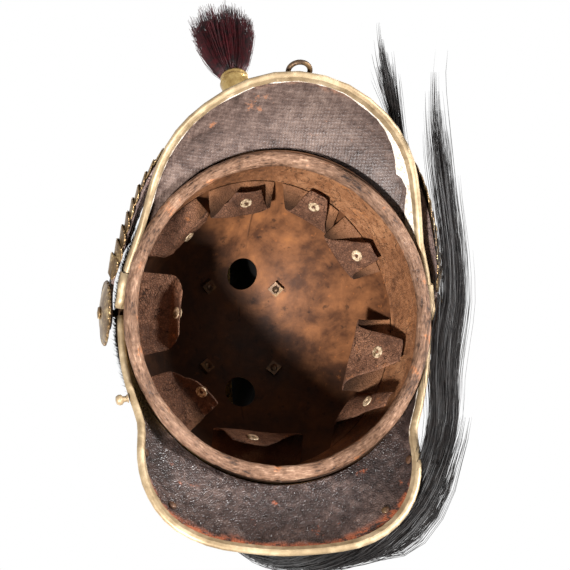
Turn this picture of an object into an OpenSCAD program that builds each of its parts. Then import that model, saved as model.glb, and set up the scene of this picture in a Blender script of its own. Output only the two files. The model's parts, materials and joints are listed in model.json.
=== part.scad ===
// Dragoon helmet: brass skull with crest and mane, leather visor and neck guard bound in brass,
// scaled chin straps fastened up over the visor, and a tongued leather liner.
// Millimetres, +Z up, front towards -Y, the wearer's left towards +X.
// The helmet stands on its visor and neck guard tips at z = 0, under the middle of the head opening.

/* [Skull] */
// Half width inside the skull at its widest level
skull_half_w = 102; // [90:1:115]
// Length of the skull divided by its width
skull_long = 1.088; // [1.02:0.01:1.16]
// Thickness of the brass skull
skull_wall = 0.9; // [0.8:0.1:2]
// Height of the skull's cut lower edge
edge_z = 44; // [38:1:50]
// Height of the skull's widest level
belt_z = 60; // [56:1:66]
// Height of the crown inside the skull
crown_z = 196; // [175:1:215]
// Diameter of each crown vent hole
vent_d = 22; // [14:1:28]
// Distance of each vent hole from the crown's middle
vent_y = 43; // [30:1:55]

/* [Turban] */
// Lower edge of the fur turban at the front and back
turban_z = 52; // [50:1:58]
// How much higher the lower edge runs over the side arms
turban_arch = 14; // [10:1:18]
// Height of the fur turban
turban_h = 60; // [50:1:70]
// Thickness of the fur and its backing
turban_t = 6.4; // [4:0.2:9]

/* [Visor and neck guard] */
// Length of the visor in front of the middle
visor_y = 155; // [140:0.5:165]
// Length of the neck guard behind the middle
guard_y = 157.5; // [145:0.5:170]
// How far the neck guard has shifted towards the wearer's right, as a share of its length
guard_shift = 0.04; // [0:0.01:0.06]
// Thickness of the visor and neck guard leather
leather_t = 2.5; // [1.5:0.1:4]
// How far the leather swells out between root and rim
leather_swell = 5; // [0:0.5:9]
// Height of the leather's root at the front and back
root_z = 49; // [46:0.5:54]

/* [Brass rims] */
// Thickness of the brass binding
rim_wall = 0.8; // [0.5:0.1:1.2]
// How far the binding reaches over the leather
rim_reach = 4.4; // [3:0.1:8]
// Diameter of the heads of the neck guard's rivets
rivet_d = 6; // [4:0.5:8]

/* [Sweatband and liner] */
// Radius of the rolled leather tube
roll_r = 4.6; // [4:0.2:8]
// Height of the roll's centre
roll_z = 46; // [43:1:50]
// Gap between the roll and the skull
roll_gap = 1; // [0.5:0.1:2]
// Thickness of the liner leather
liner_t = 1.4; // [1:0.1:2.5]
// Outer diameter of a tongue's eyelet
eyelet_d = 8.4; // [6:0.2:10]
// Height of the liner's top edge, where the tongues begin
liner_top = 111; // [100:1:116]
// Hole in each eyelet
eyelet_bore = 3; // [2:0.2:4.5]

/* [Crest] */
// Half width of the crest at its foot
crest_foot_w = 18; // [14:0.5:22]
// Half width of the crest along its top
crest_top_w = 7; // [5:0.5:10]
// Thickness of the crest's pressed brass
crest_wall = 1; // [0.6:0.1:1.4]
// Flutes pressed into each crest side
crest_flutes = 12; // [6:1:12]
// Depth of the flutes
flute_depth = 1.2; // [0.4:0.1:2]
// Bolt distance to each side of the middle
bolt_x = 26; // [24:0.5:30]
// Bolt distance in front of the crown
bolt_front_y = 34; // [25:1:45]
// Bolt distance behind the crown
bolt_rear_y = 26; // [20:1:45]
// Diameter of a crest bolt
bolt_d = 5; // [4:0.5:6]
// Width across a square crest nut
nut_w = 8.2; // [7:0.2:10]

/* [Tuft and mane] */
// Radius of the tuft's brass cup
cup_r = 12.5; // [11:0.5:15]
// Height of the tuft's cup
cup_h = 22; // [18:1:28]
// Diameter of the tuft's stem
stem_d = 11; // [8:0.5:14]
// Length of the tuft's hair
tuft_len = 66; // [40:1:80]
// Radius of the tuft at its tips
tuft_spread = 24; // [14:1:30]
// Number of bristles in the tuft
tuft_strands = 300; // [100:10:360]
// Inside radius of the mane's collar
mane_collar_r = 8; // [7:0.5:10]

/* [Chin straps] */
// Width of a chin scale beside the rosette
scale_w = 24; // [18:0.5:28]
// Width of a chin scale at the strap's end
scale_tip_w = 16; // [12:0.5:20]
// Distance from one chin scale to the next
scale_pitch = 10; // [9:0.25:12]
// Thickness of a chin scale
scale_t = 0.7; // [0.5:0.05:1]
// Lift of each scale over the next
scale_tilt = 10; // [8:0.5:16]
// Thickness of the strap leather
strap_t = 2; // [1.4:0.1:3.4]
// How far the straps stand off the turban
strap_off = 1.6; // [0.3:0.1:3]
// How far the left strap stands out in its middle
left_bulge = 9; // [4:0.5:14]
// How far the right strap stands out in its middle
right_bulge = 6.5; // [4:0.5:14]

/* [Rosettes] */
// Diameter of a rosette
rosette_d = 44; // [36:1:50]
// Height of the rosettes' centre
rosette_z = 74; // [68:0.5:80]
// Diameter of the rosette screw's shank
screw_d = 5; // [4:0.5:6]
// Clearance round the screw in the strap
strap_play = 0.6; // [0.4:0.1:1]

/* [Plume socket] */
// Bore of the plume socket
plume_bore = 9; // [7:0.5:11]
// Length of the plume socket
plume_len = 42; // [30:1:50]

/* [Hidden] */
$fn = 48;
gap = 0.3;                                   // running clearance between separate pieces
brass = [0.72, 0.6, 0.33];
patina = [0.42, 0.26, 0.15];
leather = [0.27, 0.2, 0.17];
tan_leather = [0.4, 0.28, 0.2];
hair = [0.07, 0.06, 0.06];

function lerp(a, b, t) = a + (b - a) * t;
function unit(v) = v / norm(v);
function bump(t) = 4 * t * (1 - t);
// A smooth curve through the points, with n steps between each two
function catmull(a, b, c, d, t) = 0.5 * (2 * b + (c - a) * t + (2 * a - 5 * b + 4 * c - d) * t * t
  + (3 * b - a - 3 * c + d) * t * t * t);
function spline(p, n) = let (m = len(p) - 1) [for (i = [0:m * n])
  let (k = min(floor(i / n), m - 1), t = i / n - k)
  catmull(p[max(k - 1, 0)], p[k], p[k + 1], p[min(k + 2, m)], t)];
function flip_x(p) = [-p[0], p[1], p[2]];
function mirrored_path(p) = let (m = len(p)) concat([for (i = [0:m - 1]) flip_x(p[i])],
  [for (i = [m - 2:-1:0]) p[i]]);
function tangent(p, i) = unit(p[min(i + 1, len(p) - 1)] - p[max(i - 1, 0)]);
function square_to(v, t) = unit(v - (v * t) * t);

// The outer surface of the brass skull, and its outward direction
skull_a = skull_half_w + skull_wall;
skull_b = skull_a * skull_long;
skull_c = crown_z - belt_z + skull_wall;
function skull_top(x, y, out = 0) = belt_z
  + (skull_c + out) * sqrt(max(0, 1 - pow(x / (skull_a + out), 2) - pow(y / (skull_b + out), 2)));
function skull_normal(x, y) = let (z = skull_top(x, y) - belt_z)
  unit([x / pow(skull_a, 2), y / pow(skull_b, 2), z / pow(skull_c, 2)]);
function turn_to(n) = [0, acos(n[2]), atan2(n[1], n[0])];

module skull_solid(out) {
  translate([0, 0, belt_z])
    scale([skull_a + out, (skull_a + out) * skull_long, skull_c + out]) sphere(r = 1, $fn = 96);
}

// A closed sheet of even thickness laid on both sides of a grid of points
module sheet(grid, t) {
  m = len(grid);
  k = len(grid[0]);
  across = [for (i = [0:m - 1]) [for (j = [0:k - 1])
    unit(cross(grid[min(i + 1, m - 1)][j] - grid[max(i - 1, 0)][j],
      grid[i][min(j + 1, k - 1)] - grid[i][max(j - 1, 0)]))]];
  pts = concat(
    [for (i = [0:m - 1]) for (j = [0:k - 1]) grid[i][j] + across[i][j] * t / 2],
    [for (i = [0:m - 1]) for (j = [0:k - 1]) grid[i][j] - across[i][j] * t / 2]);
  n = m * k;
  cells = [for (i = [0:m - 2]) for (j = [0:k - 2]) i * k + j];
  ends = concat(
    [for (i = [0:m - 2]) [(i + 1) * k, i * k]],
    [for (i = [0:m - 2]) [i * k + k - 1, (i + 1) * k + k - 1]],
    [for (j = [0:k - 2]) [j, j + 1]],
    [for (j = [0:k - 2]) [(m - 1) * k + j + 1, (m - 1) * k + j]]);
  faces = concat(
    [for (c = cells) each [[c, c + k + 1, c + k], [c, c + 1, c + k + 1]]],
    [for (c = cells) each [[n + c, n + c + k, n + c + k + 1], [n + c, n + c + k + 1, n + c + 1]]],
    [for (e = ends) each [[e[0], n + e[0], n + e[1]], [e[0], n + e[1], e[1]]]]);
  polyhedron(points = pts, faces = faces, convexity = 6);
}

// Points and faces of one closed tube through rings of equal count; a hollow section needs its end
// faces as triangles
function tube_points(rings) = [for (r = rings) each r];
function tube_faces(m, k, at = 0, ends = []) = let (last = at + (m - 1) * k) concat(
  [for (i = [0:m - 2]) for (j = [0:k - 1]) each
    let (a = at + i * k + j, b = at + i * k + (j + 1) % k)
    [[a, b, b + k], [a, b + k, a + k]]],
  ends == [] ? [[for (j = [k - 1:-1:0]) at + j], [for (j = [0:k - 1]) last + j]]
    : [for (e = ends) each [[at + e[2], at + e[1], at + e[0]], [last + e[0], last + e[1], last + e[2]]]]);
module tube(rings, ends = []) {
  polyhedron(points = tube_points(rings), faces = tube_faces(len(rings), len(rings[0]), 0, ends),
    convexity = 6);
}
module tubes(all_rings) {
  m = len(all_rings[0]);
  k = len(all_rings[0][0]);
  polyhedron(points = [for (rings = all_rings) each tube_points(rings)],
    faces = [for (i = [0:len(all_rings) - 1]) each tube_faces(m, k, i * m * k)], convexity = 10);
}

// Visor and neck guard: grids from the root at the skull to the bound edge
tip_z = 1.9;
visor_tip_x33 = 6.5 - visor_y;
visor_edge = [[106.5, -2, 60.5], [104.8, -18, 57.5], [101.5, -33, 53], [96, -52, 47],
  [92.5, -72, 39.5], [87, -95, 29.5], [77, -115, 20], [60.5, -132, 10.5], [33, visor_tip_x33, 3.4],
  [0, -visor_y, tip_z]];
guard_edge = [[106.5, 3, 60.5], [105.2, 20, 57.5], [102.5, 38, 52], [97.5, 58, 43], [92.5, 74, 36],
  [92.5, 86, 29], [93, 98, 23], [90, 114, 16.4], [82, 130, 10.4], [68.5, 143, 6.3], [49.5, 151.5, 3.4],
  [27, guard_y - 2, 2.3], [0, guard_y, tip_z]];
root_rise = 12;                              // how much higher the root runs at the sides
edge_skull_a = 102.9;                        // the skull's half width that these edges are drawn for
// The root stands outside the skull wall, and farther out at the sides, where the binding reaches it
function root_out(a) = 1.6 + 1.2 * pow(cos(a), 6);
function root_under(p) = let (a = atan2(p[1] / skull_long, p[0]), r = skull_a + root_out(a))
  [r * cos(a), r * skull_long * sin(a), root_z + root_rise * pow(cos(a), 2)];
function guard_grid(edge, steps, rows, shift = 0) = let (fit = skull_a / edge_skull_a,
    line = [for (p = spline(mirrored_path(edge), steps)) [p[0] * fit - p[1] * shift, p[1], p[2]]])
  [for (i = [0:len(line) - 1]) let (p = line[i], q = root_under(p), out = unit([p[0], p[1], 0]))
    [for (j = [0:rows]) lerp(q, p, j / rows)
      + (out + [0, 0, 1]) * 0.7 * leather_swell * bump(j / rows) * min(1, norm(p - q) / 50)]];
visor_grid = guard_grid(visor_edge, 2, 4);
neck_grid = guard_grid(guard_edge, 2, 4, guard_shift);

rim_play = 0.3;
// Folded brass binding along part of a guard's edge, or, with grow, a cover over its outer half
module binding(grid, from, to, grow) {
  slot = leather_t / 2 + rim_play + grow;
  outer = slot + rim_wall;
  floor = grow > 0 ? -1.9 - gap : -0.3;
  nose = min(floor - rim_wall, -1.9);
  shoulder = grow > 0 ? [nose + 0.1, slot + gap] : [nose + 0.6, outer * 0.62];
  under = grow > 0 ? [[nose + 0.3, -2], [floor, -2]]
    : [[nose + 0.6, -outer * 0.62], [0.2, -outer], [rim_reach, -outer], [rim_reach, -slot], [floor, -slot]];
  ends = grow > 0 ? [[0, 1, 7], [1, 6, 7], [1, 2, 6], [2, 3, 6], [3, 5, 6], [3, 4, 5]]
    : [[0, 1, 10], [1, 9, 10], [1, 2, 9], [2, 3, 9], [3, 8, 9], [3, 4, 8], [4, 5, 8], [5, 7, 8], [5, 6, 7]];
  k = len(grid[0]) - 1;
  edge = [for (row = grid) row[k]];
  rings = [for (i = [from:to]) let (t = tangent(edge, i),
      d = square_to(grid[i][k - 1] - grid[i][k], t), n = cross(t, d),
      reach = min(rim_reach, norm(grid[i][k] - grid[i][0]) + 1.2),
      section = concat([[reach, outer], [0.2, outer], shoulder, [nose, 0]], under,
        [[floor, slot], [reach, slot]]))
    [for (s = section) edge[i] + d * min(s[0], reach) + n * s[1]]];
  tube(rings, ends);
}

// The liner stands on the roll against the skull, and its nine tongues fold over from its top edge.
// Rows: angle of the root and half angle; angle, share of the liner's radius and height of the fold;
// the same of the tip; half widths at the fold and the tip.
roll_ring = skull_half_w - roll_gap - roll_r;
liner_r = roll_ring - roll_r;
liner_low = roll_z + roll_r + gap;
liner_out = skull_wall + gap;
tongues = [
  [222, 17, 226, 0.85, 116, 228, 0.82, 125, 23, 12],
  [260, 15, 259, 0.78, 125, 262, 0.92, 105, 21, 9],
  [292, 14, 297, 0.84, 127, 294, 1.00, 100, 18, 7],
  [323, 14, 321, 0.77, 123, 328, 0.98, 97, 18, 6.5],
  [12, 16, 15, 0.73, 119, 10, 1.03, 82, 22, 7],
  [45, 13, 41, 0.86, 112, 31, 1.01, 66, 13, 5.5],
  [92, 20, 92, 0.75, 106, 100, 0.86, 84, 32, 12],
  [141, 15, 138, 0.73, 113, 131, 0.64, 104, 19, 11],
  [182, 18, 185, 0.69, 114, 184, 0.65, 103, 26, 16]];
function on_liner(a, share, z) = [liner_r * share * cos(a), liner_r * share * skull_long * sin(a), z];
tongue_root_z = liner_top + 1;
tongue_root_in = liner_out + liner_t / 2 + 0.5;
function on_wall(a, z) = let (r = (skull_a - tongue_root_in)
    * sqrt(1 - pow((z - belt_z) / (skull_c - tongue_root_in), 2)))
  [r * cos(a), r * skull_long * sin(a), z];
function tongue_line(q) = let (root = on_wall(q[0], tongue_root_z), fold = on_liner(q[2], q[3], q[4]),
    tip = on_liner(q[5], q[6], q[7]), rise = unit(fold - root), fall = unit(tip - fold),
    a = fold - rise * 5, b = fold + fall * 5)
  [root, lerp(root, a, 0.5), a, (a + b) / 4 + (fold + (rise - fall) * 1.2) / 2, b, lerp(b, tip, 0.5), tip];
function tongue_grid(q) = let (line = tongue_line(q)) [for (i = [0:6])
  let (v = i / 6, w = v < 0.5 ? lerp(q[1] * root_arc, q[8], v * 2) : lerp(q[8], q[9], v * 2 - 1),
      a = atan2(line[i][1] / skull_long, line[i][0]), side = unit([-sin(a), cos(a) * skull_long, 0]),
      slack = min(1, v * 3))
    [for (j = [-2:2]) lerp(on_wall(q[0] + q[1] * j / 2, tongue_root_z),
      line[i] + side * w * j / 2, slack)]];
root_arc = 94 * PI / 180;                    // the wall's length per degree at the tongues' roots
function tongue_normal(g) = unit(cross(g[6][2] - g[4][2], g[5][3] - g[5][1]));

// Crest: the foot follows the skull, the top follows this line of the middle plane
flange_t = 1.2;
crest_foot_out = 2 * gap + flange_t;
crest_stations = 4 * crest_flutes;
crest_rows = 4;
crest_foot_front = 12 - skull_b;
crest_foot_back = skull_b - 16;
crest_top = spline([[-178, 202], [-166, 221], [-143, 248], [-92, 263.5], [-35, 265.5], [15, 258],
  [48, 246], [72, 231], [98, 211.5], [112, 182], [114, 150], [108, 126]], 8);
function crest_top_at(t) = let (n = len(crest_top) - 1, i = min(floor(t * n), n - 1))
  lerp(crest_top[i], crest_top[i + 1], t * n - i);
function crest_foot(t, s) = let (y = lerp(crest_foot_front, crest_foot_back, t),
    x = s * crest_foot_w * (0.7 + 0.3 * sin(180 * t)))
  [x, y, skull_top(x, y, crest_foot_out) + crest_wall];
function crest_point(t, v, s) = let (a = crest_foot(t, s), b = crest_top_at(t),
    hollow = 11 * bump(v) * pow(1 - t, 6))
  lerp(a, [s * crest_top_w, b[0], b[1]], v) + [s * (2 * bump(v)
    + flute_depth * sin(360 * crest_flutes * t) * bump(v)), hollow, 0];

// The tuft's cup stands on the crest's sloping nose, the mane's collar on its sloping back
nose_run = crest_top[8] - crest_top[0];
nose_turn = atan2(nose_run[1], nose_run[0]);
nose = (crest_top[0] + crest_top[8]) / 2 + [-sin(nose_turn), cos(nose_turn)] * 1.2;
mane_turn = -36.87;
mane_seat = (crest_top[56] + crest_top[64]) / 2 + [-sin(mane_turn), cos(mane_turn)] * 1.3;
stem_play = 0.5;
binding_h = 8;

// The chin strap's middle line on the wearer's left, fastened up round the visor, and the direction
// of its width at each point
strap_x = skull_a + gap + turban_t + strap_off + strap_t / 2;
strap_line = [[strap_x, 0, rosette_z], [strap_x, -22, rosette_z - 4],
  for (p = [[109.5, -41, 65], [102.5, -61, 60], [93, -81, 54.5], [82, -100, 47.5], [66.5, -119, 39.5],
    [48, -133.5, 32.5], [26.5, -143, 28], [8, -147, 25.8]]) [p[0] * skull_a / edge_skull_a, p[1], p[2]]];
strap_width_way = [[0, 0, 1], [0, 0, 1], [0, 0.02, 1], [0, 0.06, 1], [-0.05, 0.13, 1],
  [-0.14, 0.25, 0.95], [-0.2, 0.4, 0.88], [-0.18, 0.53, 0.8], [-0.1, 0.62, 0.78], [0, 0.66, 0.75]];
strap_swell = [0, 0, 0.25, 0.62, 1, 0.9, 0.35, 0, 0, 0];
strap_steps = 3;
strap_split = 13;
function strap_path(bulge) = spline([for (i = [0:9]) let (p = strap_line[i])
  p + unit([p[0], p[1] * 0.8, 0]) * bulge * strap_swell[i]], strap_steps);
strap_way = spline(strap_width_way, strap_steps);
function run_lengths(p) = [for (i = 0, a = 0; i < len(p);
  a = a + (i + 1 < len(p) ? norm(p[i + 1] - p[i]) : 0), i = i + 1) a];
function strap_half(share) = lerp(scale_w, scale_tip_w, share) / 2 - 4;
strap_end_r = 11;
first_scale = strap_end_r + 20;
function scale_lift(w) = strap_t / 2 + 1.3 + 0.12 * w;

// The plume socket stands upright outside the turban on a stud that ends in the skull's wall
function skull_side(y, z) = skull_a * sqrt(1 - pow(y / skull_b, 2) - pow((z - belt_z) / skull_c, 2));
plume_at = [skull_a + gap + turban_t + 3.6, 30, 78];
plume_stud_d = 4;
plume_stud_up = 8;
plume_floor = 14;
plume_stud_at = [skull_side(plume_at[1], plume_at[2] + plume_stud_up) - 0.7 * skull_wall, plume_at[1],
  plume_at[2] + plume_stud_up];

module skull_shell() {
  color(brass) difference() {
    skull_solid(0);
    skull_solid(-skull_wall);
    translate([-150, -150, edge_z - 200]) cube([300, 300, 200]);
    for (y = [-vent_y, vent_y]) translate([0, y, belt_z + 20]) cylinder(d = vent_d, h = 200);
    at_bolts() cylinder(d = bolt_d + gap, h = 30, center = true);
    side_holes(screw_d + gap);
    translate(plume_stud_at) rotate([0, 90, 0]) cylinder(d = plume_stud_d + gap, h = 40, center = true);
  }
}

module side_holes(d) {
  for (s = [-1, 1]) translate([s * skull_half_w, 0, rosette_z]) rotate([0, 90, 0])
    cylinder(d = d, h = 40, center = true);
}

// Radius of the arch that lifts the turban's lower edge over the side arms
arch_r = (pow(skull_b, 2) + pow(turban_arch, 2)) / (2 * turban_arch);

module fur_turban() {
  color(hair) difference() {
    skull_solid(gap + turban_t);
    skull_solid(gap);
    translate([-150, -150, turban_z - 200]) cube([300, 300, 200]);
    translate([-150, -150, turban_z + turban_h]) cube([300, 300, 200]);
    translate([0, 0, turban_z + turban_arch - arch_r]) rotate([0, 90, 0])
      cylinder(r = arch_r, h = 300, center = true, $fn = 180);
    side_holes(screw_d + gap);
    translate(plume_stud_at) rotate([0, 90, 0]) cylinder(d = plume_stud_d + gap, h = 40, center = true);
  }
}

module visor_leather() {
  color(leather) sheet(visor_grid, leather_t);
}

module visor_rim() {
  color(brass) binding(visor_grid, 0, len(visor_grid) - 1, 0);
}

module neck_guard_leather() {
  color(leather) sheet(neck_grid, leather_t);
}

module neck_guard_rim() {
  color(brass) binding(neck_grid, 0, len(neck_grid) - 1, 0);
}

// Where the crest bolts pass the skull, with Z along each bolt
module at_bolts() {
  for (s = [-1, 1]) for (y = [-bolt_front_y, bolt_rear_y])
    translate([s * bolt_x, y, skull_top(bolt_x, y)]) rotate(turn_to(skull_normal(s * bolt_x, y)))
      children();
}

module neck_guard_rivets() {
  k = len(neck_grid) - 1;
  for (i = [round(k * 0.25), round(k * 0.36), round(k * 0.64), round(k * 0.75)])
    let (p = neck_grid[i][3], n = unit(cross(neck_grid[i + 1][3] - neck_grid[i - 1][3],
      neck_grid[i][4] - neck_grid[i][2])), under = n[2] > 0 ? -n : n)
    color(brass) translate(p + under * (leather_t / 2 + 2 * gap)) rotate(turn_to(under))
      rotate_extrude() polygon([[0, 0], [rivet_d / 2, 0], [rivet_d * 0.45, 0.8], [rivet_d * 0.25, 1.4],
        [0, 1.6]]);
}

module side_edging(s) {
  k = len(visor_grid) - 1;
  color(brass) mirror([s < 0 ? 1 : 0, 0, 0])
    binding(visor_grid, k - 3, k, rim_wall + 2 * gap);
}

module sweatband_roll() {
  color(tan_leather) translate([0, 0, roll_z]) scale([1, skull_long, 1])
    rotate_extrude($fn = 96) translate([roll_ring, 0]) circle(r = roll_r, $fn = 32);
}

module liner_band() {
  color(tan_leather) difference() {
    skull_solid(-liner_out);
    skull_solid(-liner_out - liner_t);
    translate([-150, -150, liner_low - 200]) cube([300, 300, 200]);
    translate([-150, -150, liner_top]) cube([300, 300, 200]);
  }
}

module liner_tongues() {
  for (q = tongues) let (g = tongue_grid(q)) color(tan_leather) difference() {
    sheet(g, liner_t);
    translate(g[5][2]) rotate(turn_to(tongue_normal(g)))
      cylinder(d = eyelet_bore + 1.8, h = 3 * liner_t, center = true);
  }
}

module liner_eyelets() {
  half = liner_t / 2;
  for (q = tongues) let (g = tongue_grid(q))
    color(brass) translate(g[5][2]) rotate(turn_to(tongue_normal(g))) rotate_extrude()
      polygon([[eyelet_bore / 2, -half - 0.8], [eyelet_d / 2 - 0.4, -half - 0.8],
        [eyelet_d / 2, -half - gap], [eyelet_bore / 2 + 0.7, -half - gap],
        [eyelet_bore / 2 + 0.7, half + gap], [eyelet_d / 2, half + gap],
        [eyelet_d / 2 - 0.4, half + 0.8], [eyelet_bore / 2, half + 0.8]]);
}

module crest_side(s) {
  color(brass) sheet([for (i = [0:crest_stations]) [for (j = [0:crest_rows])
    crest_point(i / crest_stations, j / crest_rows, s)]], crest_wall);
}

// Cast palmette that closes the crest's front: a lobed and ribbed shell, wider than the crest, whose
// sides wrap back past the front edges of the crest's two sides
fan_w = 23;
fan_stand = crest_wall / 2 + gap + 1.4;
module crest_front_plate() {
  foot = crest_point(0, 0, 1);
  top = crest_point(0, 1, 1);
  run = unit([top[1] - foot[1], top[2] - foot[2]]);
  color(brass) sheet([for (i = [0:20]) let (u = i / 10 - 1, lobe = cos(u * 900)) [for (j = [0:6])
    let (v = j / 6, far = v * (0.93 + 0.05 * lobe - 0.08 * u * u),
      line = lerp(crest_point(0, far, 1), lerp(foot, top, far), 0.3),
      half = lerp(crest_foot_w * 0.7 + 4, fan_w, sin(90 * v)),
      wrap = 7 * pow(abs(u), 8) * (1 - v / 2),
      off = fan_stand + 8 * (1 - u * u) * sin(150 * v + 15) + 0.9 * lobe * v - wrap)
    [u * half, line[1] - off * run[1], line[2] + off * run[0]]]], 1.4);
}

// Beaded strip folded over the joint along the crest's top, left open where the mane comes out
module crest_top_strip() {
  rise = crest_wall / 2 + gap + 0.6;
  half = crest_top_w + 1;
  section = [[-half, -0.6], [half, -0.6], [half + 0.6, 0.4], [half - 0.4, 1.2], [half - 2.4, 0.7],
    [2.4 - half, 0.7], [0.4 - half, 1.2], [-half - 0.6, 0.4]];
  for (part = [[9, 54], [67, 86]]) color(brass) tube([for (i = [part[1]:-2:part[0]])
    let (p = crest_top[i], d = unit(crest_top[i + 1] - crest_top[i - 1]))
    [for (q = section) [q[0], p[0] - d[1] * (rise + q[1]), p[1] + d[0] * (rise + q[1])]]]);
}

module crest_flange() {
  reach = 8;
  color(brass) difference() {
    skull_solid(gap + flange_t);
    skull_solid(gap);
    translate([0, 0, -1]) difference() {
      translate([-200, -200, -100]) cube([400, 400, 400]);
      translate([0, 0, belt_z + 20]) linear_extrude(200) union() {
        translate([-crest_foot_w - 4, crest_foot_front + 4])
          square([2 * crest_foot_w + 8, crest_foot_back - crest_foot_front - 8]);
        for (s = [-1, 1]) for (y = [-bolt_front_y, bolt_rear_y])
          translate([s * bolt_x, y]) circle(r = reach);
      }
    }
    for (y = [-vent_y, vent_y]) translate([0, y, belt_z + 20]) cylinder(d = vent_d + 8, h = 200);
    at_bolts() cylinder(d = bolt_d + gap, h = 30, center = true);
  }
}

nut_t = 3.4;
module crest_bolts() {
  under_head = gap + flange_t + 0.5;
  at_bolts() color(brass) rotate_extrude() polygon([[0, -skull_wall - nut_t - 2],
    [bolt_d / 2 - 0.1, -skull_wall - nut_t - 2], [bolt_d / 2 - 0.1, under_head], [bolt_d * 0.85, under_head],
    [bolt_d * 0.7, under_head + 1.4], [0, under_head + 2.2]]);
}

module crest_nuts() {
  at_bolts() color(patina) translate([0, 0, -skull_wall - 2 * gap - nut_t]) difference() {
    translate([-nut_w / 2, -nut_w / 2, 0]) cube([nut_w, nut_w, nut_t]);
    translate([0, 0, -1]) cylinder(d = bolt_d + 0.1, h = nut_t + 2);
  }
}

module on_nose() {
  translate([0, nose[0], nose[1]]) rotate([nose_turn, 0, 0]) children();
}

module tuft_cup() {
  foot = crest_wall / 2 + gap;
  neck = cup_r * 0.74;
  color(brass) on_nose() rotate_extrude() polygon([[0, foot], [cup_r, foot], [cup_r, foot + 1.6],
    [neck, foot + 5], [neck * 0.96, foot + 9], [cup_r * 0.86, cup_h - 3], [cup_r * 0.92, cup_h],
    [stem_d / 2 + stem_play, cup_h], [stem_d / 2 + stem_play, foot + 3], [0, foot + 3]]);
}

module tuft_collar() {
  color(brass) on_nose() rotate_extrude() polygon([[0, 4.6], [stem_d / 2, 4.6], [stem_d / 2, cup_h + gap],
    [cup_r * 0.8, cup_h + gap], [cup_r * 0.86, cup_h + 2], [cup_r * 0.8, cup_h + 4],
    [cup_r * 0.86, cup_h + 6], [cup_r * 0.76, cup_h + binding_h], [0, cup_h + binding_h]]);
}

// Horsehair tuft: bristles fan out from a slice of their binding, evenly spread by the golden angle
module tuft_hair() {
  base = cup_h + binding_h + gap;
  slice = 1.2;
  root_r = cup_r * 0.7;
  bristle_r = 0.3;
  color([0.2, 0.05, 0.06]) on_nose() {
    translate([0, 0, base]) cylinder(r = root_r + 0.8, h = slice);
    tubes([for (i = [0:tuft_strands - 1]) let (q = sqrt((i + 0.5) / tuft_strands), a = i * 137.508,
        long = tuft_len * (1 - 0.16 * q * q) + 3 * sin(i * 71))
      [for (step = [0:1]) let (r = lerp(root_r, tuft_spread, step) * q, thick = bristle_r * (1 + step))
        [for (c = [0:2]) [r * cos(a) + thick * cos(a - c * 120), r * sin(a) + thick * sin(a - c * 120),
          base + slice * 0.5 + long * step]]]]);
  }
}

module mane_collar() {
  foot = crest_wall / 2 + gap;
  color(brass) translate([0, mane_seat[0], mane_seat[1]]) rotate([mane_turn, 0, 0]) rotate_extrude()
    polygon([[0, foot], [mane_collar_r + 1, foot], [mane_collar_r + 1, foot + 12],
      [mane_collar_r + 2, foot + 13], [mane_collar_r + 2, foot + 15], [mane_collar_r, foot + 15],
      [mane_collar_r, foot + 1.5], [0, foot + 1.5]]);
}

// Locks of the mane: the route's points with the half width and half height of the bundle there.
// The bundle hangs from its collar, falls behind the neck guard and lies forward on the floor.
collar_out = [0, sin(-mane_turn), cos(mane_turn)];
mane_start = [0, mane_seat[0], mane_seat[1]] + collar_out * 4;
rear_fall = [concat(mane_start, [5, 5]), concat(mane_start + collar_out * 14, [6, 6]),
  [3, 119, 238, 9, 8], [8, 138, 222, 12, 9], [14, 151, 186, 15, 10], [22, 158, 140, 17, 10],
  [34, 160, 94, 18, 9], [50, 154, 61, 18, 8], [70, 142, 43, 16, 7], [91.5, 123, 35.5, 12, 6],
  [104, 94, 26, 9, 6], [105, 67, 9.5, 8.5, 5.5]];
side_lock = [[105, 64, 9.3, 8.5, 5.5], [102.5, 42, 7.5, 7.5, 5.5], [102, 16, 6.5, 7, 5],
  [106.5, -10, 6, 6, 4.5], [105, -42, 6, 5, 4.2], [99.5, -75, 5.5, 4.6, 4], [96.5, -108, 5, 4.5, 3.6],
  [95.5, -140, 4.4, 4, 3], [95.5, -166, 3.6, 2.6, 2], [96, -184, 3, 1, 0.8]];
front_lock = [concat(mane_start + [11.6, 4, 1], [2, 2]), [25, 85, 218, 3, 2], [44, 70, 204, 4, 2],
  [68, 40, 182, 5, 2], [88, 4, 152, 5, 2], [100, -30, 122, 5, 2], [104, -64, 92, 4.5, 2],
  [104, -97, 62.5, 3.5, 1.6], [94, -122, 38.5, 3, 1.5], [79, -136, 20, 3.5, 1.8], [64, -150, 8, 5, 3],
  [56, -167, 4.5, 6, 2.6], [51.5, -184, 3.2, 4, 1.8], [50, -197, 2.6, 1.2, 0.8]];
hair_places = concat([[0, 0]], [for (i = [0:5]) [0.62 * cos(60 * i), 0.62 * sin(60 * i)]],
  [for (i = [0:11]) [1.24 * cos(30 * i + 15), 1.24 * sin(30 * i + 15)]]);
few_hair_places = [for (i = [0:6]) hair_places[i] * 1.7];
hair_reach = 1.53;
function lock_rings(route, places, steps, tail) = let (s = spline(route, steps), m = len(s) - 1,
    mid = [for (p = s) [p[0], p[1], p[2]]])
  [for (k = [0:len(places) - 1]) [for (i = [0:m]) let (t = tangent(mid, i),
      w = square_to([1, 0, 0], t), n = cross(w, t),
      q = places[k], left = tail ? max(0.06, 1 - pow(i / m / (1 - 0.25 * abs(sin(k * 77))), 3)) : 1,
      r = 0.29 * min(left, 1))
    [for (c = [0:3]) mid[i]
      + w * s[i][3] / hair_reach * (q[0] + r * cos(c * 90 + 45))
      + n * s[i][4] / hair_reach * (q[1] + r * sin(c * 90 + 45))]]];
module hair_lock(route, places, steps, tail) {
  color(hair) tubes(lock_rings(route, places, steps, tail));
}

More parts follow.
